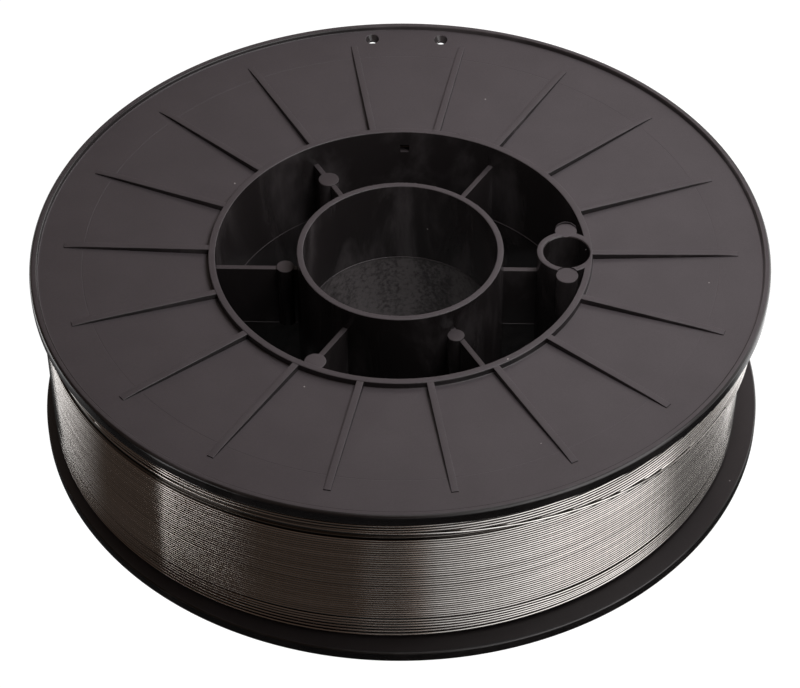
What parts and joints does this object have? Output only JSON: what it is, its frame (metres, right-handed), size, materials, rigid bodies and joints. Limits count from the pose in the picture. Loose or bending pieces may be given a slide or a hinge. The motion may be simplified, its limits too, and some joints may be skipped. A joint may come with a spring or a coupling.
{
  "type": "wire spool",
  "caption": "Flanged plastic spool with a spindle bore and a drive hole, wound full of bright metal wire.",
  "frame": {"origin": "middle of the plane that the lower rim stands on", "axes": "+Z along the spindle bore, upwards; +X towards the drive hole"},
  "size_m": [0.2, 0.2, 0.055],
  "materials": {
    "spool_plastic": "moulded, satin",
    "wire_metal": "bright drawn wire"
  },
  "bodies": {
    "root": {"spool_body": "spool_plastic", "wire_inner_layers": "wire_metal", "wire_outer_turns": "wire_metal"}
  },
  "joints": []
}
